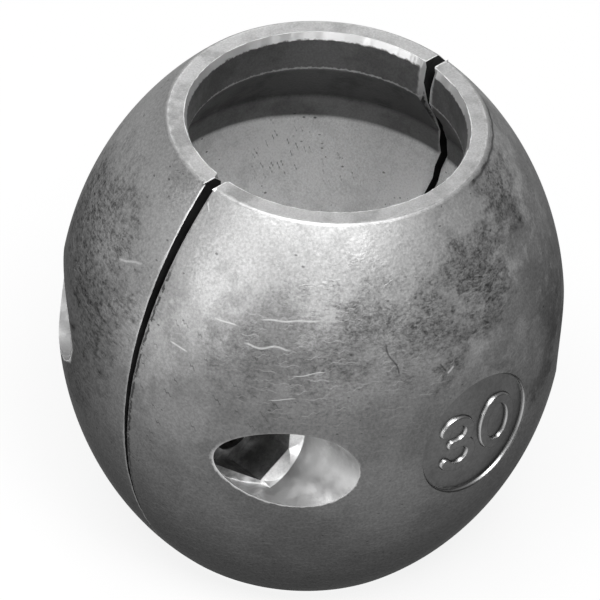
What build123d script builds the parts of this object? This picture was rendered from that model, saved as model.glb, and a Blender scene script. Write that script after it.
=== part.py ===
from build123d import *
import math
import os

# Shaft and outside of the closed anode, in millimetres
shaft_diameter = 30.0
ball_diameter = 55.0
ball_height = 52.0
end_ring_diameter = 34.6
end_ring_round = 0.3

# Bore of each half, lengths counted from an end face
mouth_chamfer_depth = 0.8
mouth_chamfer_width = 0.35
grip_land_length = 4.7
outer_cone_length = 6.4
relief_floor_length = 3.2
relief_depth_outer = 3.5
relief_depth_inner = 3.8
centre_land_length = 4.8

# Joint between the halves: they touch on a low land and lean open above it
joint_land_height = 4.7
joint_gap_top = 1.2

# Clamp bolts, one on each side of the shaft
bolt_diameter = 5.0
bolt_hole_clearance = 0.5
bolt_spacing = 40.2
nut_flats = 7.9
nut_clearance = 0.1
nut_pocket_depth = 4.3
nut_floor_offset = 9.2
flare_depth = 1.2
pocket_diameter = 10.1

# Round size badge on the front half
badge_diameter = 15.1
badge_depth = 0.5
badge_offset_x = -1.2
badge_offset_z = 0.5

bore_radius = shaft_diameter / 2
ball_radius = ball_diameter / 2
half_height = ball_height / 2
end_ring_radius = end_ring_diameter / 2
joint_reach = ball_diameter


def side_curve(inset):
    # outside of the ball, one arc from the lower end ring to the upper one
    rise = ball_radius - end_ring_radius
    arc_radius = (half_height**2 + rise**2) / (2 * rise)
    radius = arc_radius - inset
    reach = math.degrees(math.asin(half_height / radius))
    return CenterArc((ball_radius - arc_radius, 0), radius, -reach, 2 * reach)


def bore_points():
    z_land = half_height - grip_land_length
    z_floor_top = z_land - outer_cone_length
    z_floor_low = z_floor_top - relief_floor_length
    upper = [
        (bore_radius + mouth_chamfer_width, half_height),
        (bore_radius, half_height - mouth_chamfer_depth),
        (bore_radius, z_land),
        (bore_radius + relief_depth_outer, z_floor_top),
        (bore_radius + relief_depth_inner, z_floor_low),
        (bore_radius, centre_land_length / 2),
    ]
    return upper + [(r, -z) for r, z in reversed(upper)]


def turn_front(section):
    # sweep a section from the right joint face round the front to the left one
    return revolve(Plane.XZ * section, -Axis.Z, 180)


def plain_half():
    curve = side_curve(0)
    section = make_face([curve, Polyline(curve @ 1, *bore_points(), curve @ 0)])
    half = turn_front(section)
    ring_edges = half.edges().filter_by(
        lambda edge: edge.geom_type == GeomType.CIRCLE and abs(edge.radius - end_ring_radius) < 0.01
    )
    return fillet(ring_edges, end_ring_round)


def joint_lean():
    # thin wedge that opens the joint above the land where the halves touch
    z_touch = joint_land_height - half_height
    z_over = half_height + 1
    slope = joint_gap_top / 2 / (half_height - z_touch)
    y_over = -slope * (z_over - z_touch)
    outline = Polyline((0, z_touch), (y_over, z_over), (1, z_over), (1, z_touch), close=True)
    return extrude(Plane.YZ * make_face(outline), joint_reach, both=True)


def nut_pocket(x):
    # hexagon for the nut, flared out into a round pocket that runs out through the ball
    hexagon_flats = nut_flats + nut_clearance
    corner_diameter = 2 * hexagon_flats / math.sqrt(3)
    flare_start = nut_floor_offset + nut_pocket_depth
    flare_end = flare_start + flare_depth

    def section(offset, shape):
        return Plane((x, -offset, 0), x_dir=(1, 0, 0), z_dir=(0, -1, 0)) * shape

    def hexagon(flats):
        return RegularPolygon(flats / 2, 6, major_radius=False, rotation=30)

    def flare(start_shape, end_shape):
        return loft([section(flare_start, start_shape), section(flare_end, end_shape)])

    hole_diameter = bolt_diameter + bolt_hole_clearance
    round_pocket = Circle(pocket_diameter / 2)
    hole = extrude(section(-joint_gap_top, Circle(hole_diameter / 2)), flare_start)
    seat = extrude(section(nut_floor_offset, hexagon(hexagon_flats)), nut_pocket_depth)
    lead_in = flare(hexagon(hexagon_flats), hexagon(pocket_diameter))
    lead_in &= flare(Circle(corner_diameter / 2), round_pocket)
    pocket = extrude(section(flare_end, round_pocket), ball_radius)
    return hole + seat + lead_in + pocket + pocket_ramp(x, flare_start)


def pocket_ramp(x, flare_start):
    # on the thin outer side the round pocket slopes down to the nut floor
    outer = x + math.copysign(pocket_diameter / 2, x)
    outline = Polyline(
        (x, -flare_start), (outer, -nut_floor_offset), (outer, -ball_radius), (x, -ball_radius), close=True
    )
    wedge = extrude(Plane.XY * make_face(outline), pocket_diameter / 2, both=True)
    round_reach = extrude(
        Plane((x, -nut_floor_offset, 0), z_dir=(0, -1, 0)) * Circle(pocket_diameter / 2), ball_radius
    )
    return wedge & round_reach


def badge():
    # shallow round recess whose floor follows the ball
    curve = side_curve(badge_depth)
    axis_line = Polyline(curve @ 1, (0, half_height), (0, -half_height), curve @ 0)
    core = turn_front(make_face([curve, axis_line]))
    plane = Plane((badge_offset_x, -bore_radius, badge_offset_z), x_dir=(1, 0, 0), z_dir=(0, -1, 0))
    return extrude(plane * Circle(badge_diameter / 2), ball_radius) - core


def casting():
    half = plain_half() - joint_lean()
    for side in (-1, 1):
        half -= nut_pocket(side * bolt_spacing / 2)
    return half


rear_half = Rot(0, 0, 180) * casting()
front_half = casting() - badge()

os.makedirs("parts", exist_ok=True)
for name, half in (("front_half", front_half), ("rear_half", rear_half)):
    solid = half.solid()
    solid.label = name
    export_step(solid, "parts/" + name + ".step")
    print(name, "volume", round(solid.volume), "box", solid.bounding_box())
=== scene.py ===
import math

import bmesh
import bpy
import numpy as np
from mathutils import Matrix, Vector, noise


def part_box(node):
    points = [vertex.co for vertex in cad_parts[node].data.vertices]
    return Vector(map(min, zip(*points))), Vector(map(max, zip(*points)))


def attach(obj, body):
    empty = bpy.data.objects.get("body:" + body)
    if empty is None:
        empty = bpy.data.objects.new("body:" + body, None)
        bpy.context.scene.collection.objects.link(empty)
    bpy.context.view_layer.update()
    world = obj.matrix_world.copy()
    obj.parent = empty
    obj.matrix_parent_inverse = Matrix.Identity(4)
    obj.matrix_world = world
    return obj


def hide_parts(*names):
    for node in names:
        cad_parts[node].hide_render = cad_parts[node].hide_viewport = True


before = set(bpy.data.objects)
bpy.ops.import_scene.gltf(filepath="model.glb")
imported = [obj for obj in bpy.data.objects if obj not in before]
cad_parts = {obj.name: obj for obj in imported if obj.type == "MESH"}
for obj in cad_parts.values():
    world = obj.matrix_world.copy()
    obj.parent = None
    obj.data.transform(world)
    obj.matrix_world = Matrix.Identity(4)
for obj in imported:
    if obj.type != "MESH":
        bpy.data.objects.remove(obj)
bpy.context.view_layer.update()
mm = 0.001

rearLow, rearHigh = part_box("rear_half")

# casting: outside and bore of each half, in millimetres
casting = {
    "ballRadius": rearHigh[1] / mm,
    "halfHeight": rearHigh[2] / mm,
    "endRingRadius": 17.3,
    "endRingRound": 0.3,
    "boreRadius": 15.0,
    "mouthChamferDepth": 0.8,
    "mouthChamferWidth": 0.35,
    "gripLandLength": 4.7,
    "outerConeLength": 6.4,
    "reliefFloorLength": 3.2,
    "reliefDepthOuter": 3.5,
    "reliefDepthInner": 3.8,
    "centreLandLength": 4.8,
    "jointLandHeight": 4.7,
    "jointGapTop": 1.2,
    "turnSteps": 300,
    "turnFineness": 0.75,
    "sideSteps": 100,
    "boreStep": 1.6,
    "edgeBevel": 0.17,
    "edgeDrop": 0.1,
    "chipReach": 0.85,
    "chipDepth": 0.75,
    "chamferWaver": 0.16,
    "unrollRadius": 26.0,
}

# nut pocket: hexagonal seat, flare and round pocket, measured out from the joint
nutPocket = {
    "spacing": 40.2,
    "holeRadius": 2.75,
    "hexagonFlats": 8.0,
    "floorOffset": 9.2,
    "hexagonDepth": 4.3,
    "flareDepth": 1.2,
    "pocketRadius": 5.05,
    "roundSteps": 96,
}

# badge: round recess on the front half
badge = {
    "radius": 7.55,
    "depth": 0.5,
    "x": -1.2,
    "z": 0.5,
    "wall": [(7.0, 0.5), (7.15, 0.48), (7.24, 0.41), (7.36, 0.12), (7.44, 0.03), (7.56, -0.12)],
    "roundSteps": 192,
}

arcRise = casting["ballRadius"] - casting["endRingRadius"]
arcRadius = (casting["halfHeight"] ** 2 + arcRise ** 2) / (2 * arcRise)
arcCentre = casting["ballRadius"] - arcRadius


def sideRadius(z, inset=0.0):
    # distance of the ball's outside from the shaft axis at height z
    return arcCentre + math.sqrt((arcRadius - inset) ** 2 - z * z)


def boreCorners():
    c = casting
    top = c["halfHeight"]
    landEnd = top - c["gripLandLength"]
    floorTop = landEnd - c["outerConeLength"]
    floorLow = floorTop - c["reliefFloorLength"]
    r = c["boreRadius"]
    upper = [
        (r + c["mouthChamferWidth"], top),
        (r, top - c["mouthChamferDepth"]),
        (r, landEnd),
        (r + c["reliefDepthOuter"], floorTop),
        (r + c["reliefDepthInner"], floorLow),
        (r, c["centreLandLength"] / 2),
    ]
    return upper + [(rr, -zz) for rr, zz in reversed(upper)]


def profilePoints():
    # closed section of the casting: outside going up, then down the bore
    c = casting
    edge, top, bend = c["endRingRadius"], c["halfHeight"], c["endRingRound"]
    points = []
    for i in range(c["sideSteps"] + 1):
        z = -top + bend * 0.7
        z += (2 * top - bend * 1.4) * i / c["sideSteps"]
        points.append((sideRadius(z), z))
    upperRound = [(edge - 0.25 * bend, top - 0.2 * bend), (edge - 0.8 * bend, top)]
    points += upperRound
    corners = boreCorners()
    for (r0, z0), (r1, z1) in zip(corners, corners[1:]):
        steps = max(1, round(math.hypot(r1 - r0, z1 - z0) / c["boreStep"]))
        for i in range(steps):
            points.append((r0 + (r1 - r0) * i / steps, z0 + (z1 - z0) * i / steps))
    points.append(corners[-1])
    points += [(r, -z) for r, z in reversed(upperRound)]
    return points


def meshObject(name, verts, faces):
    # new object without loose points, its normals turned outwards
    mesh = bpy.data.meshes.new(name)
    mesh.from_pydata([tuple(v) for v in verts], [], faces)
    mesh.validate()
    obj = bpy.data.objects.new(name, mesh)
    bpy.context.collection.objects.link(obj)
    tidy = bmesh.new()
    tidy.from_mesh(mesh)
    bmesh.ops.recalc_face_normals(tidy, faces=tidy.faces)
    bmesh.ops.delete(tidy, geom=[v for v in tidy.verts if not v.link_faces], context="VERTS")
    tidy.to_mesh(mesh)
    tidy.free()
    return obj


def jointLean(z):
    # how far a joint face leans back at height z
    c = casting
    touch = c["jointLandHeight"] - c["halfHeight"]
    return max(0.0, (z - touch) * c["jointGapTop"] / 2 / (c["halfHeight"] - touch))


def wornPoint(r, z, angle, outside, seed):
    # bevelled and chipped joint edges, and a wavering chamfer at the mouths of the bore
    c = casting
    fromJoint = max(0.0, abs(r * math.sin(angle)) - jointLean(z))
    side = 1 if math.cos(angle) > 0 else -1
    along = noise.noise(Vector((z * 0.9, side * 5.0, seed)))
    fine = noise.noise(Vector((z * 2.6, side * 9.0, seed + 3)))
    if outside:
        reach = c["edgeBevel"] * (1 + 0.5 * along + 0.4 * fine)
        if fromJoint < reach:
            r -= c["edgeDrop"] * (1 - fromJoint / reach) * (1 + 0.6 * fine)
    elif z > 0:
        reach = c["chipReach"] * (0.25 + max(0.0, along + 0.6 * fine))
        if fromJoint < reach:
            r += c["chipDepth"] * (1 - fromJoint / reach) * max(0.0, fine + 0.5)
    if abs(z) > c["halfHeight"] - c["mouthChamferDepth"] - 0.01 and not outside and r < c["boreRadius"] + 0.9:
        turn = Vector((math.cos(angle) * 13, math.sin(angle) * 13, seed + z))
        waver = noise.noise(turn) + 0.7 * noise.noise(turn * 3.1)
        if abs(z) > c["halfHeight"] - 0.01:
            r += c["chamferWaver"] * 0.6 * waver
        else:
            z += math.copysign(c["chamferWaver"] * waver, -z)
    return r, z


def turnedHalf(name, seed):
    # half turn of the section round the front, finer near its two joint faces
    points = profilePoints()
    count = len(points)
    steps = casting["turnSteps"]
    verts = []
    for j in range(steps + 1):
        t = j / steps
        angle = -math.pi * (t - casting["turnFineness"] * math.sin(2 * math.pi * t) / (2 * math.pi))
        for i, (r, z) in enumerate(points):
            r, z = wornPoint(r, z, angle, i <= casting["sideSteps"], seed)
            verts.append((r * math.cos(angle), r * math.sin(angle), z))
    faces = []
    for j in range(steps):
        for i in range(count):
            a, b = i, (i + 1) % count
            faces.append((j * count + a, j * count + b, (j + 1) * count + b, (j + 1) * count + a))
    faces.append(tuple(range(count)))
    faces.append(tuple(steps * count + i for i in reversed(range(count))))
    return meshObject(name, verts, faces)


def ringsObject(name, rings):
    # closed mesh from rings of equally many points, with a cap on the first and the last
    steps = len(rings[0])
    last = (len(rings) - 1) * steps
    faces = [tuple(range(steps)), tuple(last + i for i in reversed(range(steps)))]
    for start in range(0, last, steps):
        for i in range(steps):
            a, b = start + i, start + (i + 1) % steps
            faces.append((a, b, b + steps, a + steps))
    return meshObject(name, [point for ring in rings for point in ring], faces)


def cutAway(obj, cutter):
    # one exact boolean, applied, and the cutter removed
    step = obj.modifiers.new("cut", "BOOLEAN")
    step.solver = "EXACT"
    step.operation = "DIFFERENCE"
    step.object = cutter
    depsgraph = bpy.context.evaluated_depsgraph_get()
    mesh = bpy.data.meshes.new_from_object(obj.evaluated_get(depsgraph))
    obj.modifiers.clear()
    old = obj.data
    obj.data = mesh
    bpy.data.meshes.remove(old)
    bpy.data.objects.remove(cutter)


def jointWedge():
    # the space above the land where a joint face leans back
    c = casting
    touch = c["jointLandHeight"] - c["halfHeight"]
    over = c["halfHeight"] + 1
    outline = [(0, touch), (-jointLean(over), over), (1, over), (1, touch)]
    return ringsObject("jointWedge", [[(x, y, z) for y, z in outline] for x in (-40, 40)])


def pocketCutter(x):
    # one mesh of rings round the bolt: hole, hexagonal seat, flare or slope, round pocket
    p = nutPocket
    steps = p["roundSteps"]
    floorEnd, seatEnd = p["floorOffset"], p["floorOffset"] + p["hexagonDepth"]
    mouth = seatEnd + 12
    apothem, pocketRadius = p["hexagonFlats"] / 2, p["pocketRadius"]
    corner = apothem / math.cos(math.radians(30))
    columns = []
    for i in range(steps):
        angle = 2 * math.pi * i / steps
        across = math.cos((angle + math.pi / 6) % (math.pi / 3) - math.pi / 6)
        seat = apothem / across
        # where the flat facet over this side of the hexagon meets the cone
        crease = apothem / (pocketRadius - apothem) - corner / (pocketRadius - corner)
        crease /= across / (pocketRadius - apothem) - 1 / (pocketRadius - corner)
        crease = min(max(crease, seat + 0.02), pocketRadius - 0.02)
        outward = math.cos(angle) * math.copysign(1, x)

        def floorAt(r):
            if outward > 0:
                return seatEnd - p["hexagonDepth"] * outward * r / pocketRadius
            flat = (r * across - apothem) / (pocketRadius - apothem)
            cone = (r - corner) / (pocketRadius - corner)
            return seatEnd + p["flareDepth"] * max(flat, cone)

        radii = [seat + (crease - seat) * k / 3 for k in range(4)]
        radii += [crease + (pocketRadius - crease) * k / 3 for k in range(1, 4)]
        line = [(p["holeRadius"], -2), (p["holeRadius"], floorEnd), (seat, floorEnd)]
        line += [(r, floorAt(r)) for r in radii] + [(pocketRadius, mouth)]
        columns.append([(x + r * math.cos(angle), -w, r * math.sin(angle)) for r, w in line])
    return ringsObject("pocketCutter", list(zip(*columns)))


def badgeCutter():
    # sunk disc that follows the ball, with a drafted wall rounded at its foot
    steps = badge["roundSteps"]
    floorReach, floorDepth = badge["wall"][0]
    stations = [(floorReach * k / 20, floorDepth) for k in range(1, 20)] + badge["wall"]
    # a depth of None lies clear of the ball
    stations += [(badge["wall"][-1][0], None), (1.0, None)]
    rings = []
    for r, depth in stations:
        ring = []
        for i in range(steps):
            x = badge["x"] + r * math.cos(2 * math.pi * i / steps)
            z = badge["z"] + r * math.sin(2 * math.pi * i / steps)
            y = casting["ballRadius"] + 2 if depth is None else math.sqrt(sideRadius(z, depth) ** 2 - x * x)
            ring.append((x, -y, z))
        rings.append(ring)
    return ringsObject("badgeCutter", rings)


# shading: how near and how like an exact surface a face has to be, in millimetres, cosine and degrees
shading = {"near": 0.02, "leastMatch": 0.93, "likeAngle": 32.0}


def surfaceNormals(points):
    # true normals of the curved surfaces at given points: list of (distance, normal) arrays
    rho = np.maximum(np.hypot(points[:, 0], points[:, 1]), 1e-9)
    radial = np.stack([points[:, 0] / rho, points[:, 1] / rho, np.zeros(len(points))], 1)
    up = np.array([0.0, 0.0, 1.0])
    z = points[:, 2]
    found = []
    for inset in (0.0, badge["depth"]):
        away = np.hypot(rho - arcCentre, z)
        normal = radial * ((rho - arcCentre) / away)[:, None] + up * (z / away)[:, None]
        found.append((np.abs(away - (arcRadius - inset)), normal))
    corners = boreCorners()
    for (r0, z0), (r1, z1) in zip(corners, corners[1:]):
        length = math.hypot(r1 - r0, z1 - z0)
        nr, nz = (z1 - z0) / length, -(r1 - r0) / length
        distance = np.abs((rho - r0) * nr + (z - z0) * nz)
        inside = (z <= max(z0, z1) + 0.02) & (z >= min(z0, z1) - 0.02)
        found.append((np.where(inside, distance, 9.0), radial * nr + up * nz))
    for side in (-1, 1):
        x0 = side * nutPocket["spacing"] / 2
        away = np.maximum(np.hypot(points[:, 0] - x0, z), 1e-9)
        normal = -np.stack([(points[:, 0] - x0) / away, np.zeros(len(points)), z / away], 1)
        for radius in (nutPocket["holeRadius"], nutPocket["pocketRadius"]):
            found.append((np.abs(away - radius), normal))
        seatEnd = nutPocket["floorOffset"] + nutPocket["hexagonDepth"]
        corner = nutPocket["hexagonFlats"] / math.sqrt(3)
        slope = (nutPocket["pocketRadius"] - corner) / nutPocket["flareDepth"]
        tilt = math.hypot(1, slope)
        coneDistance = np.abs(away - corner - slope * (-points[:, 1] - seatEnd)) / tilt
        found.append((coneDistance, (normal - np.array([0.0, slope, 0.0])) / tilt))
    return found


def shadeTrue(obj):
    # smooth shading from the exact surfaces; worn and blended faces are smoothed with like neighbours
    mesh = obj.data
    points = np.empty(len(mesh.vertices) * 3)
    mesh.vertices.foreach_get("co", points)
    points = points.reshape(-1, 3)
    surfaces = surfaceNormals(points)
    alike = math.cos(math.radians(shading["likeAngle"]))
    loopNormals = np.zeros((len(mesh.loops), 3))
    loose = []
    around = {}
    for polygon in mesh.polygons:
        flat = np.array(polygon.normal)
        verts = list(polygon.vertices)
        best, chosen = shading["leastMatch"], None
        for distance, normal in surfaces:
            if distance[verts].max() < shading["near"]:
                match = (normal[verts] @ flat).min()
                if match > best:
                    best, chosen = match, normal
        if chosen is not None:
            start = polygon.loop_start
            loopNormals[start:start + polygon.loop_total] = chosen[verts]
        else:
            loose.append((polygon.loop_start, verts, flat))
            for v in verts:
                around.setdefault(v, []).append(flat * polygon.area)
        polygon.use_smooth = True
    for start, verts, flat in loose:
        for k, v in enumerate(verts):
            total = sum(n for n in around[v] if n @ flat > alike * np.linalg.norm(n))
            size = np.linalg.norm(total)
            loopNormals[start + k] = total / size if size > 1e-12 else flat
    mesh.normals_split_custom_set([tuple(n) for n in loopNormals])


def castHalf(name, withBadge, seed):
    half = turnedHalf(name, seed)
    cutAway(half, jointWedge())
    for side in (-1, 1):
        cutAway(half, pocketCutter(side * nutPocket["spacing"] / 2))
    if withBadge:
        cutAway(half, badgeCutter())
    shadeTrue(half)
    half.data.transform(Matrix.Scale(mm, 4))
    triangles = sum(len(polygon.vertices) - 2 for polygon in half.data.polygons)
    print(name, "faces", len(half.data.polygons), "triangles", triangles)
    return half


def halves():
    front = castHalf("frontCasting", True, 1.7)
    rear = castHalf("rearCasting", False, 6.2)
    rear.data.transform(Matrix.Rotation(math.pi, 4, "Z"))
    for piece, node in ((front, "front_half"), (rear, "rear_half")):
        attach(piece, "root")
        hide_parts(node)
    return front, rear


# digits: raised plain numbers for the shaft size, in millimetres on the badge floor
digits = {
    "stroke": 1.5,
    "flatShare": 0.6,
    "rise": 0.4,
    "sink": 0.1,
    "tilt": 4.0,
    "gridStep": 0.06,
    "three": {"x": -4.17, "z": 0.67, "width": 3.45, "height": 6.15},
    "zero": {"x": 1.39, "z": 1.13, "width": 4.2, "height": 5.95},
}


def threeStrokes():
    # upper bowl with its short bar, and lower bowl, as open lines
    w, h = digits["three"]["width"], digits["three"]["height"]
    upper, lower = 0.235 * h, 0.265 * h
    angles = [math.radians(160 - 250 * i / 30) for i in range(31)]
    top = [(0.46 * w * math.cos(t), h / 2 - upper + upper * math.sin(t)) for t in angles]
    top.append((-0.2 * w, h / 2 - 2 * upper))
    angles = [math.radians(90 - 245 * i / 30) for i in range(31)]
    return [top, [(0.5 * w * math.cos(t), lower - h / 2 + lower * math.sin(t)) for t in angles]]


def zeroStrokes():
    w, h = digits["zero"]["width"], digits["zero"]["height"]
    angles = [2 * math.pi * i / 60 for i in range(61)]
    return [[(0.5 * w * math.cos(t), 0.5 * h * math.sin(t)) for t in angles]]


def strokeDistance(points, strokes):
    # distance of every grid point from the nearest stroke line
    nearest = np.full(len(points), 9.0)
    for line in strokes:
        for start, end in zip(np.array(line), np.array(line[1:])):
            along = end - start
            share = np.clip((points - start) @ along / (along @ along), 0, 1)
            nearest = np.minimum(nearest, np.linalg.norm(points - start - share[:, None] * along, axis=1))
    return nearest


def raisedDigit(name, place, strokes):
    # closed shell: rounded ridge over a hidden underside inside the badge floor
    d = digits
    half = d["stroke"] / 2
    us = np.arange(-place["width"] / 2 - half, place["width"] / 2 + half + 0.1, d["gridStep"])
    vs = np.arange(-place["height"] / 2 - half, place["height"] / 2 + half + 0.1, d["gridStep"])
    grid = np.array([(u, v) for v in vs for u in us])
    slope = np.clip((half - strokeDistance(grid, strokes)) / (half * (1 - d["flatShare"])), 0, 1)
    lifts = (d["rise"] + d["sink"]) * slope * slope * (3 - 2 * slope) - d["sink"]
    tilt = math.radians(d["tilt"])
    verts = []
    for under in (False, True):
        for (u, v), lift in zip(grid, lifts):
            x = place["x"] + u * math.cos(tilt) - v * math.sin(tilt)
            z = place["z"] + u * math.sin(tilt) + v * math.cos(tilt)
            reach = sideRadius(z, badge["depth"] + 2 * d["sink"] if under else badge["depth"] - lift)
            verts.append((x * mm, -math.sqrt(reach * reach - x * x) * mm, z * mm))
    wide, size = len(us), len(grid)
    faces, rim = [], set()
    for row in range(len(vs) - 1):
        for column in range(wide - 1):
            a = row * wide + column
            cell = (a, a + 1, a + wide + 1, a + wide)
            if max(lifts[i] for i in cell) > -d["sink"] + 0.001:
                faces += [cell, tuple(size + i for i in reversed(cell))]
                for edge in zip(cell, cell[1:] + cell[:1]):
                    if edge[::-1] in rim:
                        rim.discard(edge[::-1])
                    else:
                        rim.add(edge)
    faces += [(b, a, size + a, size + b) for a, b in rim]
    obj = meshObject(name, verts, faces)
    for polygon in obj.data.polygons:
        polygon.use_smooth = True
    obj.data.set_sharp_from_angle(angle=math.radians(60))
    return obj


def raisedDigits():
    pieces = [raisedDigit("digitThree", digits["three"], threeStrokes()),
              raisedDigit("digitZero", digits["zero"], zeroStrokes())]
    for piece in pieces:
        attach(piece, "root")
    return pieces


def newGroup(name, inputs, outputs, outputKind="NodeSocketFloat"):
    # inputs are labels with their first value, or None for a place
    group = bpy.data.node_groups.new(name, "ShaderNodeTree")
    for label, value in inputs.items():
        kind = "NodeSocketVector" if value is None else "NodeSocketFloat"
        socket = group.interface.new_socket(name=label, in_out="INPUT", socket_type=kind)
        if value is not None:
            socket.default_value = value
    for label in outputs:
        group.interface.new_socket(name=label, in_out="OUTPUT", socket_type=outputKind)
    return group, group.nodes.new("NodeGroupInput").outputs, group.nodes.new("NodeGroupOutput").inputs


def placed(tree, group, **values):
    made = tree.nodes.new("ShaderNodeGroup")
    made.node_tree = group
    for label, value in values.items():
        feed(tree, made.inputs[label.replace("_", " ")], value)
    return made.outputs


def feed(tree, socket, value):
    # a socket takes either another node's output or a plain value
    if isinstance(value, bpy.types.NodeSocket):
        tree.links.new(value, socket)
    else:
        socket.default_value = value


def calc(tree, operation, a, b=0.0):
    made = tree.nodes.new("ShaderNodeMath")
    made.operation = operation
    feed(tree, made.inputs[0], a)
    feed(tree, made.inputs[1], b)
    return made.outputs[0]


def plus(tree, a, b):
    return calc(tree, "ADD", a, b)


def minus(tree, a, b):
    return calc(tree, "SUBTRACT", a, b)


def times(tree, a, b):
    return calc(tree, "MULTIPLY", a, b)


def gap(tree, a, b):
    # how far two values lie apart
    return calc(tree, "ABSOLUTE", minus(tree, a, b))


def strongest(tree, masks):
    result = masks[0]
    for mask in masks[1:]:
        result = calc(tree, "MAXIMUM", result, mask)
    return result


def vectorCalc(tree, operation, a, b=(0.0, 0.0, 0.0)):
    made = tree.nodes.new("ShaderNodeVectorMath")
    made.operation = operation
    feed(tree, made.inputs[0], a)
    feed(tree, made.inputs["Scale" if operation == "SCALE" else 1], b)
    return made.outputs["Value" if operation in ("LENGTH", "DISTANCE") else "Vector"]


def spread(tree, value, low, high, toLow=0.0, toHigh=1.0):
    # smooth step from one level to another
    made = tree.nodes.new("ShaderNodeMapRange")
    made.interpolation_type = "SMOOTHSTEP"
    levels = {"Value": value, "From Min": low, "From Max": high, "To Min": toLow, "To Max": toHigh}
    for label, given in levels.items():
        feed(tree, made.inputs[label], given)
    return made.outputs["Result"]


def fade(tree, value, low, high):
    # 1 up to the low level, 0 from the high one
    return spread(tree, value, low, high, 1.0, 0.0)


def noiseAt(tree, place, scale, detail=4.0, roughness=0.6):
    made = tree.nodes.new("ShaderNodeTexNoise")
    levels = {"Vector": place, "Scale": scale, "Detail": detail, "Roughness": roughness}
    for label, given in levels.items():
        feed(tree, made.inputs[label], given)
    return made.outputs["Fac"]


def placeMm(tree):
    # object position in millimetres
    return vectorCalc(tree, "SCALE", tree.nodes.new("ShaderNodeTexCoord").outputs["Object"], 1000.0)


def splitXyz(tree, vector):
    made = tree.nodes.new("ShaderNodeSeparateXYZ")
    feed(tree, made.inputs[0], vector)
    return made.outputs


def joinXyz(tree, x, y, z=0.0):
    made = tree.nodes.new("ShaderNodeCombineXYZ")
    for socket, given in zip(made.inputs, (x, y, z)):
        feed(tree, socket, given)
    return made.outputs[0]


def fromAxis(tree, x, y):
    return vectorCalc(tree, "LENGTH", joinXyz(tree, x, y))


def splitColour(tree, colour):
    made = tree.nodes.new("ShaderNodeSeparateColor")
    feed(tree, made.inputs[0], colour)
    return made.outputs


def unrolledGroup():
    # the turned surface laid flat: millimetres round the shaft, and height
    tree, _, out = newGroup("unrolled", {}, ["Place"], "NodeSocketVector")
    x, y, z = splitXyz(tree, placeMm(tree))
    around = times(tree, calc(tree, "ARCTAN2", y, x), casting["unrollRadius"])
    feed(tree, out["Place"], joinXyz(tree, around, z))
    return tree


def mottleGroup():
    # clouds of dark oxide, 0 dark to 1 clean
    inputs = {"Cloud Size": 9.0, "Clean Share": 0.5, "Softness": 0.14}
    tree, given, out = newGroup("castMottle", inputs, ["Mask"])
    cloud = noiseAt(tree, placeMm(tree), calc(tree, "DIVIDE", 1.0, given["Cloud Size"]), 5.0, 0.68)
    middle = minus(tree, 0.72, times(tree, given["Clean Share"], 0.44))
    low, high = minus(tree, middle, given["Softness"]), plus(tree, middle, given["Softness"])
    feed(tree, out["Mask"], spread(tree, cloud, low, high))
    return tree


def patchGroup():
    # soft ragged area round a place on the casting
    tree, given, out = newGroup("patch", {"Centre": None, "Reach": 6.0}, ["Mask"])
    place = placeMm(tree)
    away = calc(tree, "DIVIDE", vectorCalc(tree, "DISTANCE", place, given["Centre"]), given["Reach"])
    ragged = times(tree, minus(tree, noiseAt(tree, place, 0.28, 4.0, 0.75), 0.5), 2.6)
    feed(tree, out["Mask"], fade(tree, plus(tree, away, ragged), 0.35, 1.15))
    return tree


def scuffGroup(unrolled):
    # tumbling scuffs on the unrolled skin: drawn-out crinkled height, and a sandy dark stipple
    inputs = {"Crinkle Size": 0.6, "Stipple Size": 0.5}
    tree, given, out = newGroup("scuffs", inputs, ["Crinkle", "Stipple"])
    flat = placed(tree, unrolled)["Place"]
    drawn = vectorCalc(tree, "MULTIPLY", flat, (0.42, 1.2, 1.0))
    bend = joinXyz(tree, 0.0, times(tree, noiseAt(tree, flat, 0.5, 1.0), 1.6))
    fineness = calc(tree, "DIVIDE", 1.0, given["Crinkle Size"])
    crinkle = noiseAt(tree, vectorCalc(tree, "ADD", drawn, bend), fineness, 2.0, 0.55)
    feed(tree, out["Crinkle"], fade(tree, gap(tree, crinkle, 0.5), 0.0, 0.14))
    drawn = vectorCalc(tree, "MULTIPLY", flat, (0.75, 1.25, 1.0))
    stipple = noiseAt(tree, drawn, calc(tree, "DIVIDE", 1.0, given["Stipple Size"]), 3.0, 0.72)
    feed(tree, out["Stipple"], spread(tree, stipple, 0.42, 0.66))
    return tree


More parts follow.
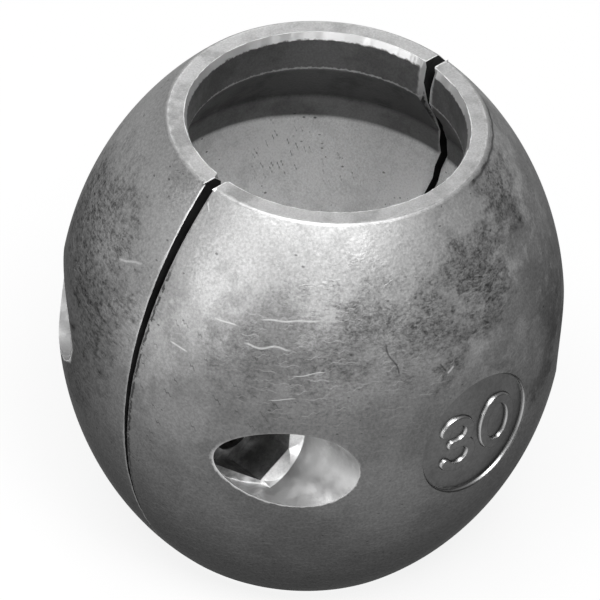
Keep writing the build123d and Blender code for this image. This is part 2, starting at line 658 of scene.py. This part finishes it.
def scratchGroup(unrolled):
    # one short wavy scratch in each cell of the unrolled skin that the share picks
    inputs = {"Cell Length": 5.0, "Cell Height": 1.2, "Width": 0.12, "Share": 0.4, "Tilt": 0.1, "Offset": 0.0}
    tree, given, out = newGroup("scratches", inputs, ["Mask"])

    def randomAt(place):
        made = tree.nodes.new("ShaderNodeTexWhiteNoise")
        made.noise_dimensions = "3D"
        feed(tree, made.inputs["Vector"], place)
        return splitColour(tree, made.outputs["Color"])

    around, height, _ = splitXyz(tree, placed(tree, unrolled)["Place"])
    height = plus(tree, height, times(tree, around, given["Tilt"]))
    lane = calc(tree, "FLOOR", calc(tree, "DIVIDE", height, given["Cell Height"]))
    shift = times(tree, randomAt(joinXyz(tree, lane, given["Offset"]))[0], 5.0)
    column = plus(tree, calc(tree, "DIVIDE", around, given["Cell Length"]), shift)
    cell = calc(tree, "FLOOR", column)
    chance = randomAt(joinXyz(tree, cell, lane, given["Offset"]))
    along = minus(tree, minus(tree, column, cell), 0.5)
    rise = minus(tree, height, times(tree, plus(tree, lane, 0.5), given["Cell Height"]))
    turn = times(tree, minus(tree, chance[1], 0.5), times(tree, along, 1.1))
    unevenness = times(tree, calc(tree, "SINE", times(tree, along, 21.0)), 0.8)
    wave = calc(tree, "SINE", plus(tree, times(tree, along, given["Cell Length"]), unevenness))
    across = gap(tree, rise, plus(tree, turn, times(tree, wave, 0.14)))
    thin = fade(tree, across, 0.0, given["Width"])
    half = plus(tree, times(tree, chance[2], 0.28), 0.18)
    ends = fade(tree, calc(tree, "ABSOLUTE", along), times(tree, half, 0.4), half)
    shown = calc(tree, "LESS_THAN", chance[0], given["Share"])
    feed(tree, out["Mask"], times(tree, times(tree, thin, ends), shown))
    return tree


def strokeMarkGroup(unrolled):
    # one scratch at a chosen place on the unrolled skin, in millimetres and radians
    inputs = {"Round": 0.0, "Height": 0.0, "Turn": 0.0, "Length": 2.0, "Width": 0.12, "Wave": 0.0}
    tree, given, out = newGroup("strokeMark", inputs, ["Mask"])
    centre = joinXyz(tree, given["Round"], given["Height"])
    x, y, _ = splitXyz(tree, vectorCalc(tree, "SUBTRACT", placed(tree, unrolled)["Place"], centre))
    cosine, sine = calc(tree, "COSINE", given["Turn"]), calc(tree, "SINE", given["Turn"])
    along = plus(tree, times(tree, x, cosine), times(tree, y, sine))
    across = minus(tree, times(tree, y, cosine), times(tree, x, sine))
    sway = times(tree, calc(tree, "SINE", times(tree, along, 1.9)), given["Wave"])
    thin = fade(tree, gap(tree, across, sway), 0.0, given["Width"])
    half = times(tree, given["Length"], 0.5)
    ends = fade(tree, calc(tree, "ABSOLUTE", along), times(tree, half, 0.6), half)
    feed(tree, out["Mask"], times(tree, thin, ends))
    return tree


def pitGroup():
    # small specks or pits, a little wider than high
    inputs = {"Cell Size": 0.8, "Size": 0.2, "Share": 0.4, "Cluster": 0.5}
    tree, given, out = newGroup("pits", inputs, ["Mask"])
    place = placeMm(tree)
    drawn = vectorCalc(tree, "MULTIPLY", place, (0.75, 0.75, 1.3))
    cells = tree.nodes.new("ShaderNodeTexVoronoi")
    cells.inputs["Scale"].default_value = 1.0
    fineness = calc(tree, "DIVIDE", 1.0, given["Cell Size"])
    feed(tree, cells.inputs["Vector"], vectorCalc(tree, "SCALE", drawn, fineness))
    chance = splitColour(tree, cells.outputs["Color"])
    size = times(tree, given["Size"], plus(tree, chance[0], 0.35))
    spot = fade(tree, cells.outputs["Distance"], times(tree, size, 0.4), size)
    cluster = given["Cluster"]
    crowded = spread(tree, noiseAt(tree, place, 0.16, 2.0), cluster, plus(tree, cluster, 0.12))
    shown = calc(tree, "LESS_THAN", chance[1], times(tree, given["Share"], crowded))
    feed(tree, out["Mask"], times(tree, spot, shown))
    return tree


def edgeGroup():
    # worn edges of end rings, joint, nut pockets and mouths, brightened partly as wear and partly as a
    # painted highlight, and a ragged line beside the joint
    c = casting
    inputs = {"Reach": 0.25, "Line Offset": 0.3}
    tree, given, out = newGroup("wornAndGlintEdges", inputs, ["Mask", "Joint Line"])
    place = placeMm(tree)
    x, y, z = splitXyz(tree, place)
    high = calc(tree, "ABSOLUTE", z)
    rho = fromAxis(tree, x, y)
    touch = c["jointLandHeight"] - c["halfHeight"]
    slope = jointLean(c["halfHeight"]) / (c["halfHeight"] - touch)
    lean = calc(tree, "MAXIMUM", times(tree, minus(tree, z, touch), slope), 0.0)
    fromJoint = minus(tree, calc(tree, "ABSOLUTE", y), lean)
    waver = noiseAt(tree, place, 1.2, 3.0, 0.65)
    reach = times(tree, given["Reach"], spread(tree, waver, 0.3, 0.7, 0.45, 1.5))

    outwards = minus(tree, rho, c["endRingRadius"] - 0.12)
    upwards = minus(tree, high, c["halfHeight"] - 0.12)
    onRing = times(tree, fade(tree, fromAxis(tree, outwards, upwards), 0.0, reach), 0.55)

    inBore = calc(tree, "LESS_THAN", rho, c["boreRadius"] + 0.5)
    burr = times(tree, times(tree, calc(tree, "GREATER_THAN", x, 0.0), inBore), 0.55)
    jointReach = plus(tree, times(tree, reach, 0.7), burr)
    onJoint = fade(tree, fromJoint, times(tree, jointReach, 0.3), jointReach)
    onJoint = times(tree, onJoint, spread(tree, z, 16.0, 25.0, 0.2, 1.0))

    fromBolt = fromAxis(tree, minus(tree, calc(tree, "ABSOLUTE", x), nutPocket["spacing"] / 2), z)
    onPocket = fade(tree, gap(tree, fromBolt, nutPocket["pocketRadius"]), 0.0, reach)
    onPocket = times(tree, onPocket, spread(tree, z, -3.0, 3.5, 0.95, 0.1))

    chamferEnd = c["halfHeight"] - c["mouthChamferDepth"]
    ragged = plus(tree, high, times(tree, minus(tree, waver, 0.5), 0.8))
    inMouth = calc(tree, "LESS_THAN", rho, c["boreRadius"] + c["mouthChamferWidth"] + 0.06)
    onChamfer = times(tree, inMouth, spread(tree, ragged, chamferEnd - 0.16, chamferEnd + 0.08))
    feed(tree, out["Mask"], strongest(tree, [onRing, onJoint, onPocket, onChamfer]))

    middle = plus(tree, given["Line Offset"], times(tree, minus(tree, waver, 0.5), 0.9))
    line = fade(tree, gap(tree, fromJoint, middle), 0.06, 0.26)
    left = calc(tree, "LESS_THAN", calc(tree, "MAXIMUM", x, y), 0.0)
    belt = times(tree, spread(tree, z, -16.0, -2.0), fade(tree, z, 16.0, 21.0))
    broken = times(tree, belt, spread(tree, waver, 0.38, 0.5))
    feed(tree, out["Joint Line"], times(tree, times(tree, line, left), broken))
    return tree


def grainGroup():
    # fine sandy tone of the cast skin
    tree, given, out = newGroup("castGrain", {"Grain Size": 0.25}, ["Tone", "Height"])
    place = placeMm(tree)
    fineness = calc(tree, "DIVIDE", 1.0, given["Grain Size"])
    feed(tree, out["Tone"], noiseAt(tree, place, fineness, 2.0, 0.7))
    feed(tree, out["Height"], noiseAt(tree, place, times(tree, fineness, 0.6), 2.0, 0.65))
    return tree


def grey(value):
    return (value, value, value, 1.0)


def blend(tree, factor, a, b, mode="MIX"):
    made = tree.nodes.new("ShaderNodeMix")
    made.data_type = "RGBA"
    made.blend_type = mode
    feed(tree, made.inputs["Factor"], factor)
    for label, given in (("A", a), ("B", b)):
        socket = next(i for i in made.inputs if i.name == label and i.type == "RGBA")
        feed(tree, socket, grey(given) if isinstance(given, float) else given)
    return next(o for o in made.outputs if o.type == "RGBA")


def toned(tree, mask, base, tone):
    # base multiplied by a tone where the mask is
    return blend(tree, mask, base, tone, "MULTIPLY")


def grained(tree, base, grain, depth):
    # a little lighter and darker from grain to grain
    tone = blend(tree, spread(tree, grain["Tone"], 0.25, 0.75), 1.0 - depth, 1.0 + depth)
    return toned(tree, 1.0, base, tone)


def newFinish(name):
    material = bpy.data.materials.new(name)
    material.use_nodes = True
    return material, material.node_tree


def metal(material, base, roughness, normal, limbTone=1.0):
    # a limb tone below 1 darkens the metal where it turns away
    tree = material.node_tree
    looks = {"Metallic": 1.0, "Base Color": base, "Roughness": roughness, "Normal": normal,
             "Specular Tint": grey(limbTone)}
    for label, given in looks.items():
        feed(tree, tree.nodes["Principled BSDF"].inputs[label], given)
    return material


def bumpNormal(tree, height, distance, strength=1.0, below=None):
    made = tree.nodes.new("ShaderNodeBump")
    feed(tree, made.inputs["Height"], height)
    made.inputs["Distance"].default_value = distance
    made.inputs["Strength"].default_value = strength
    if below is not None:
        feed(tree, made.inputs["Normal"], below)
    return made.outputs[0]


# tumbled skin: outside of the ball
# patches are (place, reach, strength), marks are (round, height, turn, length, width, wave)
tumbledSkin = {
    # low, middle and high tones: the darker foot is painted shade, the paler shoulder a painted highlight
    "low": 0.12,
    "middle": 0.195,
    "high": 0.58,
    "footShadeRise": (-22.0, 10.0),
    "shoulderHighlightRise": (5.0, 24.0),
    "oxide": 0.7,
    "highlightGain": 1.8,
    "patchTone": 0.2,
    "shadeTone": 0.45,
    "sandTone": 0.4,
    "scuffTone": 0.7,
    "dotTone": 0.04,
    "wornEdgeHighlightTone": 0.85,
    "limbTone": 0.27,
    "grainDepth": 0.16,
    "roughness": 0.45,
    "oxideRoughness": 0.6,
    "darkPatches": [
        ((-25.5, 7.5, 9.0), 9.0, 0.9), ((-18.5, 16.4, 14.5), 8.0, 0.9), ((-20.6, 10.0, 17.5), 6.0, 0.8),
        ((-25.5, 9.5, 0.0), 8.0, 0.5), ((0.8, -22.8, 18.2), 6.5, 0.95), ((-5.5, -23.4, 15.8), 5.5, 0.85),
        ((-12.0, -19.0, 18.4), 5.0, 0.65), ((8.7, -17.6, 23.0), 4.5, 0.9), ((-16.0, -18.6, 14.5), 4.5, 0.5),
        ((-22.5, -10.5, 12.5), 4.0, 0.4), ((18.0, 17.0, 14.0), 8.0, 0.75), ((5.0, 25.5, 5.0), 6.5, 0.55),
        ((24.0, 9.0, 7.0), 7.5, 0.6),
    ],
    "shadedPatches": [
        ((8.0, -24.0, 12.0), 13.0, 0.75), ((20.0, -15.0, 16.0), 13.0, 0.6), ((-20.2, -13.6, 14.4), 7.5, 0.55),
        ((-14.5, -18.8, 15.6), 5.5, 0.45), ((1.5, -23.4, 17.4), 6.5, 0.4),
    ],
    "scuffedPatches": [
        ((-17.0, -17.5, 14.8), 10.0, 0.9), ((-9.0, -22.0, 15.5), 8.0, 0.9), ((0.0, -23.0, 18.0), 6.0, 0.7),
        ((-20.0, 13.0, 14.0), 9.0, 0.6), ((-18.0, 2.5, 24.5), 3.5, 0.8), ((13.0, 21.0, 12.0), 9.0, 0.8),
        ((25.5, -7.0, 7.0), 8.0, 0.7),
    ],
    # painted highlights: lighter patches that stand in for lamp light on the skin
    "highlightPatches": [
        ((-26.3, -0.5, 9.0), 6.5, 0.65), ((-25.5, -6.0, 4.0), 5.0, 0.3), ((5.6, -25.4, 9.8), 2.0, 0.5),
        ((7.5, -25.8, 6.6), 4.0, 0.6),
    ],
    "dashedPatches": [
        ((-25.0, -7.0, 6.0), 11.0, 0.7), ((-21.5, -14.5, 6.5), 8.0, 0.45), ((10.0, 22.0, -4.0), 14.0, 0.5),
    ],
    "lightMarks": [
        (-64.3, 17.3, 0.1, 8.4, 0.16, 0.05), (-66.7, 14.3, 0.1, 6.0, 0.18, 0.16),
        (-72.0, 15.7, 0.0, 3.2, 0.14, 0.04), (-76.7, 11.3, -0.1, 2.6, 0.15, 0.0),
        (76.4, 15.8, 0.4, 4.6, 0.22, 0.05), (-80.1, 24.5, -0.5, 1.3, 0.2, 0.0),
        (-45.9, 10.7, 0.6, 1.2, 0.2, 0.0), (-61.8, 12.1, 0.2, 4.2, 0.09, 0.08),
        (-64.4, 9.0, 0.2, 3.2, 0.08, 0.05), (22.0, 12.5, 0.1, 6.4, 0.15, 0.12),
        (-8.0, 10.5, 0.2, 4.2, 0.14, 0.05), (40.0, 8.5, -0.2, 3.4, 0.14, 0.08),
    ],
    # dark scratches, and along the ring edge one long painted shade line in the crease
    "darkMarksAndCreaseShade": [
        (-46.8, 11.2, -1.0, 1.6, 0.18, 0.0), (-52.7, 13.3, -1.15, 4.6, 0.16, 0.16),
        (-23.0, 25.58, 0.0, 26.0, 0.24, 0.04),
    ],
}


def markMask(tree, groups, marks):
    labels = ("Round", "Height", "Turn", "Length", "Width", "Wave")
    masks = [placed(tree, groups["mark"], **dict(zip(labels, mark)))["Mask"] for mark in marks]
    return strongest(tree, masks)


def patchMask(tree, groups, patches):
    masks = []
    for place, reach, strength in patches:
        mask = placed(tree, groups["patch"], Centre=place, Reach=reach)["Mask"]
        masks.append(times(tree, mask, strength))
    return strongest(tree, masks)


def tumbledSkinFinish(groups):
    k = tumbledSkin
    material, tree = newFinish("tumbledSkin")
    place = placeMm(tree)
    height = splitXyz(tree, place)[2]
    clouds = placed(tree, groups["mottle"], Cloud_Size=11.0, Clean_Share=0.55)["Mask"]
    scuffs = placed(tree, groups["scuffs"], Crinkle_Size=0.62, Stipple_Size=0.42)
    blotches = placed(tree, groups["scuffs"], Stipple_Size=1.1)["Stipple"]
    grain = placed(tree, groups["grain"], Grain_Size=0.3)
    edges = placed(tree, groups["edge"], Reach=0.22)
    scuffed = patchMask(tree, groups, k["scuffedPatches"])

    # darker towards the foot as painted shade and paler towards the shoulder as a painted highlight, with
    # clouds of oxide, dark patches, painted shade patches and painted highlight patches
    base = blend(tree, spread(tree, height, *k["footShadeRise"]), k["low"], k["middle"])
    base = blend(tree, spread(tree, height, *k["shoulderHighlightRise"]), base, k["high"])
    # painted highlight patches
    base = toned(tree, patchMask(tree, groups, k["highlightPatches"]), base, k["highlightGain"])
    base = toned(tree, times(tree, minus(tree, 1.0, clouds), 0.6), base, k["oxide"])
    stippled = plus(tree, times(tree, scuffs["Stipple"], 0.4), times(tree, blotches, 0.5))
    worn = times(tree, patchMask(tree, groups, k["darkPatches"]), plus(tree, stippled, 0.2))
    base = toned(tree, worn, base, k["patchTone"])
    base = toned(tree, patchMask(tree, groups, k["shadedPatches"]), base, k["shadeTone"])
    sandy = times(tree, scuffs["Stipple"], plus(tree, times(tree, scuffed, 0.4), 0.12))
    base = toned(tree, sandy, base, k["sandTone"])
    base = grained(tree, base, grain, k["grainDepth"])

    # light scratches, then dark specks, dashes and painted crease shade along the ring edge, then bright worn
    # edges that are partly a painted highlight
    scratches = strongest(tree, [
        placed(tree, groups["scratches"], Cell_Length=5.5, Cell_Height=1.05, Width=0.11, Share=0.5,
               Tilt=0.06)["Mask"],
        placed(tree, groups["scratches"], Cell_Length=3.2, Cell_Height=0.9, Width=0.09, Share=0.45,
               Tilt=-0.25, Offset=7.0)["Mask"],
    ])
    scratched = times(tree, scratches, plus(tree, times(tree, scuffed, 0.34), 0.07))
    lit = strongest(tree, [scratched, markMask(tree, groups, k["lightMarks"])])
    base = blend(tree, times(tree, lit, 0.68), base, k["scuffTone"])
    specks = placed(tree, groups["pits"], Cell_Size=0.9, Size=0.18, Share=0.55, Cluster=0.46)["Mask"]
    dashes = placed(tree, groups["scratches"], Cell_Length=1.7, Cell_Height=1.2, Width=0.13, Share=0.32,
                    Tilt=0.8, Offset=3.0)["Mask"]
    dots = strongest(tree, [
        times(tree, dashes, patchMask(tree, groups, k["dashedPatches"])),
        times(tree, specks, 0.6),
        times(tree, edges["Joint Line"], 0.85),
        times(tree, markMask(tree, groups, k["darkMarksAndCreaseShade"]), 0.7),
    ])
    base = blend(tree, dots, base, k["dotTone"])
    base = blend(tree, times(tree, edges["Mask"], 0.8), base, k["wornEdgeHighlightTone"])
    roughness = spread(tree, clouds, 0.0, 1.0, k["oxideRoughness"], k["roughness"])

    # slow ripple, crinkle where scuffed, then grain and scratches
    crinkled = times(tree, scuffs["Crinkle"], plus(tree, times(tree, scuffed, 0.9), 0.1))
    relief = plus(tree, grain["Height"], times(tree, lit, 0.6))
    normal = bumpNormal(tree, noiseAt(tree, place, 0.75, 2.0, 0.55), 0.00009, 0.5)
    normal = bumpNormal(tree, crinkled, 0.00005, 0.36, normal)
    normal = bumpNormal(tree, relief, 0.00004, 0.6, normal)
    return metal(material, base, roughness, normal, k["limbTone"])


# bore: cleaner metal inside and on the end rings, toned stretch by stretch as painted light: a painted
# highlight on the end rings and brightest on the cones below the relief, painted shade in the undercut
boreLitAndShadedMetal = {
    "ring": 0.56,
    "land": 0.22,
    "undercutShade": 0.07,
    "floor": 0.2,
    "cone": 0.97,
    "dull": 0.72,
    "pitTone": 0.05,
    "wornEdgeHighlightTone": 0.97,
    "grainDepth": 0.13,
    "roughness": 0.48,
    "dullRoughness": 0.56,
    "pitPatches": [((8.5, 14.0, 8.8), 4.2, 1.0), ((13.0, 10.0, 6.0), 3.2, 0.6)],
}


def boreMetalFinish(groups):
    k = boreLitAndShadedMetal
    material, tree = newFinish("boreLitAndShadedMetal")
    clouds = placed(tree, groups["mottle"], Cloud_Size=5.0, Clean_Share=0.62)["Mask"]
    grain = placed(tree, groups["grain"], Grain_Size=0.22)
    high = calc(tree, "ABSOLUTE", splitXyz(tree, placeMm(tree))[2])
    top = casting["halfHeight"]
    landEnd = top - casting["gripLandLength"]
    floorTop = landEnd - casting["outerConeLength"]
    floorLow = floorTop - casting["reliefFloorLength"]

    # one tone for each stretch of the bore, from the centre to the mouth; the cone and end ring tones are
    # painted highlight, the undercut tone painted shade
    base = blend(tree, spread(tree, high, floorLow - 0.4, floorLow + 0.3), k["cone"], k["floor"])
    base = blend(tree, spread(tree, high, floorTop - 0.9, floorTop + 0.3), base, k["undercutShade"])
    base = blend(tree, spread(tree, high, landEnd - 0.7, landEnd + 0.3), base, k["land"])
    base = blend(tree, spread(tree, high, top - 0.7, top - 0.1), base, k["ring"])
    base = toned(tree, 1.0, base, blend(tree, clouds, k["dull"], 1.0))
    base = grained(tree, base, grain, k["grainDepth"])

    # pits on the cones, and worn edges at the grip land and the mouth, brightened partly as wear and partly
    # as a painted highlight
    slanted = placed(tree, groups["scratches"], Cell_Length=1.25, Cell_Height=0.8, Width=0.19, Share=0.42,
                     Tilt=-0.9)["Mask"]
    slanted = times(tree, slanted, patchMask(tree, groups, k["pitPatches"]))
    pits = placed(tree, groups["pits"], Cell_Size=0.6, Size=0.24, Share=0.8, Cluster=0.48)["Mask"]
    pits = times(tree, strongest(tree, [pits, slanted]), spread(tree, high, 12.0, 14.0, 0.85, 0.0))
    base = blend(tree, pits, base, k["pitTone"])
    ragged = plus(tree, high, times(tree, minus(tree, grain["Height"], 0.5), 0.7))
    worn = spread(tree, gap(tree, ragged, landEnd), 0.04, 0.2, 0.45, 0.0)
    base = blend(tree, worn, base, k["wornEdgeHighlightTone"])
    edge = placed(tree, groups["edge"], Reach=0.3)["Mask"]
    base = blend(tree, times(tree, edge, 0.9), base, k["wornEdgeHighlightTone"])
    roughness = spread(tree, clouds, 0.0, 1.0, k["dullRoughness"], k["roughness"])
    return metal(material, base, roughness, bumpNormal(tree, grain["Height"], 0.00004, 0.7))


# joint faces: painted shade, near-black dull metal inside the slit
jointShadeSkin = {"tone": 0.035, "pale": 0.06, "roughness": 0.75}


def jointSkinFinish(groups):
    k = jointShadeSkin
    material, tree = newFinish("jointShadeSkin")
    clouds = placed(tree, groups["mottle"], Cloud_Size=3.0, Clean_Share=0.5)["Mask"]
    grain = placed(tree, groups["grain"], Grain_Size=0.3)
    base = blend(tree, clouds, k["tone"], k["pale"])
    return metal(material, base, k["roughness"], bumpNormal(tree, grain["Height"], 0.00004, 0.7))


# nut pockets: bright swirled metal, with a painted highlight on the flare round the hexagonal seat and
# painted shade patches on one wall
pocketMetal = {
    "tone": 0.5,
    "dull": 0.2,
    "flareHighlightTone": 0.8,
    "patchTone": 0.5,
    "wornEdgeHighlightTone": 0.9,
    "grainDepth": 0.12,
    "roughness": 0.38,
    "dullRoughness": 0.46,
    "wallShadePatches": [((-15.4, -15.8, 0.6), 2.2, 0.8), ((-15.2, -20.8, -0.6), 3.2, 0.8)],
}


def pocketMetalFinish(groups):
    k = pocketMetal
    material, tree = newFinish("pocketMetal")
    place = placeMm(tree)
    clouds = placed(tree, groups["mottle"], Cloud_Size=3.0, Clean_Share=0.46)["Mask"]
    grain = placed(tree, groups["grain"], Grain_Size=0.3)
    base = blend(tree, clouds, k["dull"], k["tone"])
    # painted shade patches on the pocket wall
    base = toned(tree, patchMask(tree, groups, k["wallShadePatches"]), base, k["patchTone"])
    outward = calc(tree, "ABSOLUTE", splitXyz(tree, place)[1])
    flareMiddle = nutPocket["floorOffset"] + nutPocket["hexagonDepth"] + nutPocket["flareDepth"] / 2
    # painted highlight on the flare round the hexagonal seat
    flare = spread(tree, gap(tree, outward, flareMiddle), 0.5, 0.65, 0.85, 0.0)
    base = blend(tree, flare, base, k["flareHighlightTone"])
    base = grained(tree, base, grain, k["grainDepth"])
    # worn edges, brightened partly as wear and partly as a painted highlight
    edge = placed(tree, groups["edge"], Reach=0.2)["Mask"]
    base = blend(tree, times(tree, edge, 0.8), base, k["wornEdgeHighlightTone"])
    roughness = spread(tree, clouds, 0.0, 1.0, k["dullRoughness"], k["roughness"])
    swirl = bumpNormal(tree, noiseAt(tree, place, 0.42, 1.0, 0.4), 0.0003, 0.4)
    return metal(material, base, roughness, bumpNormal(tree, grain["Height"], 0.00003, 0.4, swirl))


# badge: smoother dark floor, and a painted highlight on the flanks of the digits and of the wall
badgeSkin = {
    "tone": 0.125,
    "dull": 0.1,
    "flankHighlightTone": 0.5,
    "limbTone": 0.35,
    "grainDepth": 0.12,
    "roughness": 0.36,
}


def badgeSkinFinish(groups):
    k = badgeSkin
    material, tree = newFinish("badgeSkin")
    clouds = placed(tree, groups["mottle"], Cloud_Size=5.0, Clean_Share=0.55)["Mask"]
    grain = placed(tree, groups["grain"], Grain_Size=0.35)
    base = grained(tree, blend(tree, clouds, k["dull"], k["tone"]), grain, k["grainDepth"])
    # the flanks, which carry the painted highlight, are found from how far a point lies above the badge floor
    x, y, z = splitXyz(tree, placeMm(tree))
    reach = fromAxis(tree, minus(tree, fromAxis(tree, x, y), arcCentre), z)
    lift = minus(tree, reach, arcRadius - badge["depth"])
    litFlank = times(tree, spread(tree, lift, 0.06, 0.2), fade(tree, lift, 0.3, 0.39))
    base = blend(tree, litFlank, base, k["flankHighlightTone"])
    normal = bumpNormal(tree, grain["Height"], 0.00002, 0.5)
    return metal(material, base, k["roughness"], normal, k["limbTone"])


def castFinishes():
    # the shared effects are built once; each finish places them with its own values
    unrolled = unrolledGroup()
    groups = {
        "mottle": mottleGroup(),
        "patch": patchGroup(),
        "scuffs": scuffGroup(unrolled),
        "scratches": scratchGroup(unrolled),
        "mark": strokeMarkGroup(unrolled),
        "pits": pitGroup(),
        "edge": edgeGroup(),
        "grain": grainGroup(),
    }
    makers = {"skin": tumbledSkinFinish, "bore": boreMetalFinish, "pocket": pocketMetalFinish,
              "badge": badgeSkinFinish, "joint": jointSkinFinish}
    return {part: make(groups) for part, make in makers.items()}


def finishPart(x, y, z, turned):
    # which part of the casting a face belongs to, from where its middle lies
    if turned:
        x, y = -x, -y
    depth = arcRadius - math.hypot(math.hypot(x, y) - arcCentre, z)
    fromBolt = math.hypot(abs(x) - nutPocket["spacing"] / 2, z)
    fromBadge = math.hypot(x - badge["x"], z - badge["z"])
    fromJoint = abs(y) - jointLean(z)
    bevel = depth < 0.2 and 0.004 < fromJoint < 0.4 and abs(z) < casting["halfHeight"] - 0.3
    if depth < 0.012 or bevel:
        return "skin"
    if fromBolt < nutPocket["pocketRadius"] + 0.01 and y < -1:
        return "pocket"
    if not turned and fromBadge < badge["radius"] + 0.2 and depth < badge["depth"] + 0.05:
        return "badge"
    return "joint" if fromJoint < 0.004 else "bore"


def dressCasting(piece, turned, finishes):
    parts = list(finishes)
    for part in parts:
        piece.data.materials.append(finishes[part])
    for polygon in piece.data.polygons:
        polygon.material_index = parts.index(finishPart(*(polygon.center / mm), turned))


# studio: camera place from the photograph, floor and lamps
# lamps are (azimuth, elevation, width, height or None for a disc, power)
studio = {
    "azimuth": 47.26,
    "elevation": 39.85,
    "roll": -5.17,
    "distance": 0.8357,
    "lens": 461.2,
    "right": 1.17 * mm,
    "up": 0.775 * mm,
    "floorReach": 3.0,
    "floorShade": 0.92,
    "floorGlow": 0.85,
    "worldStrength": 0.2,
    "lampDistance": 0.8,
    "lamps": {
        "keyLamp": (-152, 67, 0.9, 0.3, 5.4),
        "highLamp": (-103, 63, 0.4, None, 1.8),
        "frontLamp": (-130, 18, 0.35, None, 0.7),
        "leftLamp": (180, 14, 0.35, None, 1.4),
        "backLamp": (50, 38, 0.35, None, 0.8),
    },
}


def buildCamera():
    s = studio
    turned, raised, roll = (math.radians(s[k]) for k in ("azimuth", "elevation", "roll"))
    ahead = Vector((math.sin(turned), math.cos(turned), 0))
    forward = ahead * math.cos(raised) - Vector((0, 0, math.sin(raised)))
    plainRight = Vector((math.cos(turned), -math.sin(turned), 0))
    plainUp = ahead * math.sin(raised) + Vector((0, 0, math.cos(raised)))
    right = plainRight * math.cos(roll) - plainUp * math.sin(roll)
    up = plainRight * math.sin(roll) + plainUp * math.cos(roll)
    camera = bpy.data.objects.new("camera", bpy.data.cameras.new("camera"))
    bpy.context.collection.objects.link(camera)
    camera.data.lens = s["lens"]
    camera.data.sensor_width = 36
    camera.data.clip_start = 0.01
    place = -forward * s["distance"] - right * s["right"] + up * s["up"]
    turn = Matrix((right, up, -forward)).transposed().to_4x4()
    camera.matrix_world = Matrix.Translation(place) @ turn
    bpy.context.scene.camera = camera


def areaLamp(name, azimuth, elevation, width, height, power):
    lamp = bpy.data.lights.new(name, "AREA")
    lamp.energy = power
    lamp.shape = "RECTANGLE" if height else "DISK"
    lamp.size = width
    if height:
        lamp.size_y = height
    obj = bpy.data.objects.new(name, lamp)
    bpy.context.collection.objects.link(obj)
    az, el = math.radians(azimuth), math.radians(elevation)
    towards = Vector((math.cos(az) * math.cos(el), math.sin(az) * math.cos(el), math.sin(el)))
    obj.location = towards * studio["lampDistance"]
    obj.rotation_euler = (-towards).to_track_quat("-Z", "Y").to_euler()


def buildFloor():
    # pale floor that keeps its shadow, and is white to the camera and in reflections
    reach, low = studio["floorReach"], rearLow[2]
    corners = [(-reach, -reach, low), (reach, -reach, low), (reach, reach, low), (-reach, reach, low)]
    floor = meshObject("floor", corners, [(0, 1, 2, 3)])
    material = bpy.data.materials.new("paleFloor")
    material.use_nodes = True
    tree = material.node_tree
    shader = tree.nodes["Principled BSDF"]
    shader.inputs["Base Color"].default_value = grey(studio["floorShade"])
    shader.inputs["Roughness"].default_value = 0.9
    glow = tree.nodes.new("ShaderNodeEmission")
    path = tree.nodes.new("ShaderNodeLightPath").outputs
    seen = strongest(tree, [path["Is Camera Ray"], path["Is Glossy Ray"], path["Is Transmission Ray"]])
    both = tree.nodes.new("ShaderNodeMixShader")
    feed(tree, both.inputs["Fac"], times(tree, seen, studio["floorGlow"]))
    feed(tree, both.inputs[1], shader.outputs[0])
    feed(tree, both.inputs[2], glow.outputs[0])
    feed(tree, tree.nodes["Material Output"].inputs["Surface"], both.outputs[0])
    floor.data.materials.append(material)


def buildLight():
    world = bpy.data.worlds.new("studioWorld")
    bpy.context.scene.world = world
    world.use_nodes = True
    background = world.node_tree.nodes["Background"]
    background.inputs["Color"].default_value = grey(1.0)
    background.inputs["Strength"].default_value = studio["worldStrength"]
    for name, values in studio["lamps"].items():
        areaLamp(name, *values)


bpy.context.scene.view_settings.view_transform = "Standard"
print("castings")
frontPiece, rearPiece = halves()
print("digits")
digitPieces = raisedDigits()
print("finishes")
finishes = castFinishes()
dressCasting(frontPiece, False, finishes)
dressCasting(rearPiece, True, finishes)
for piece in digitPieces:
    piece.data.materials.append(finishes["badge"])
print("studio")
buildCamera()
buildFloor()
buildLight()
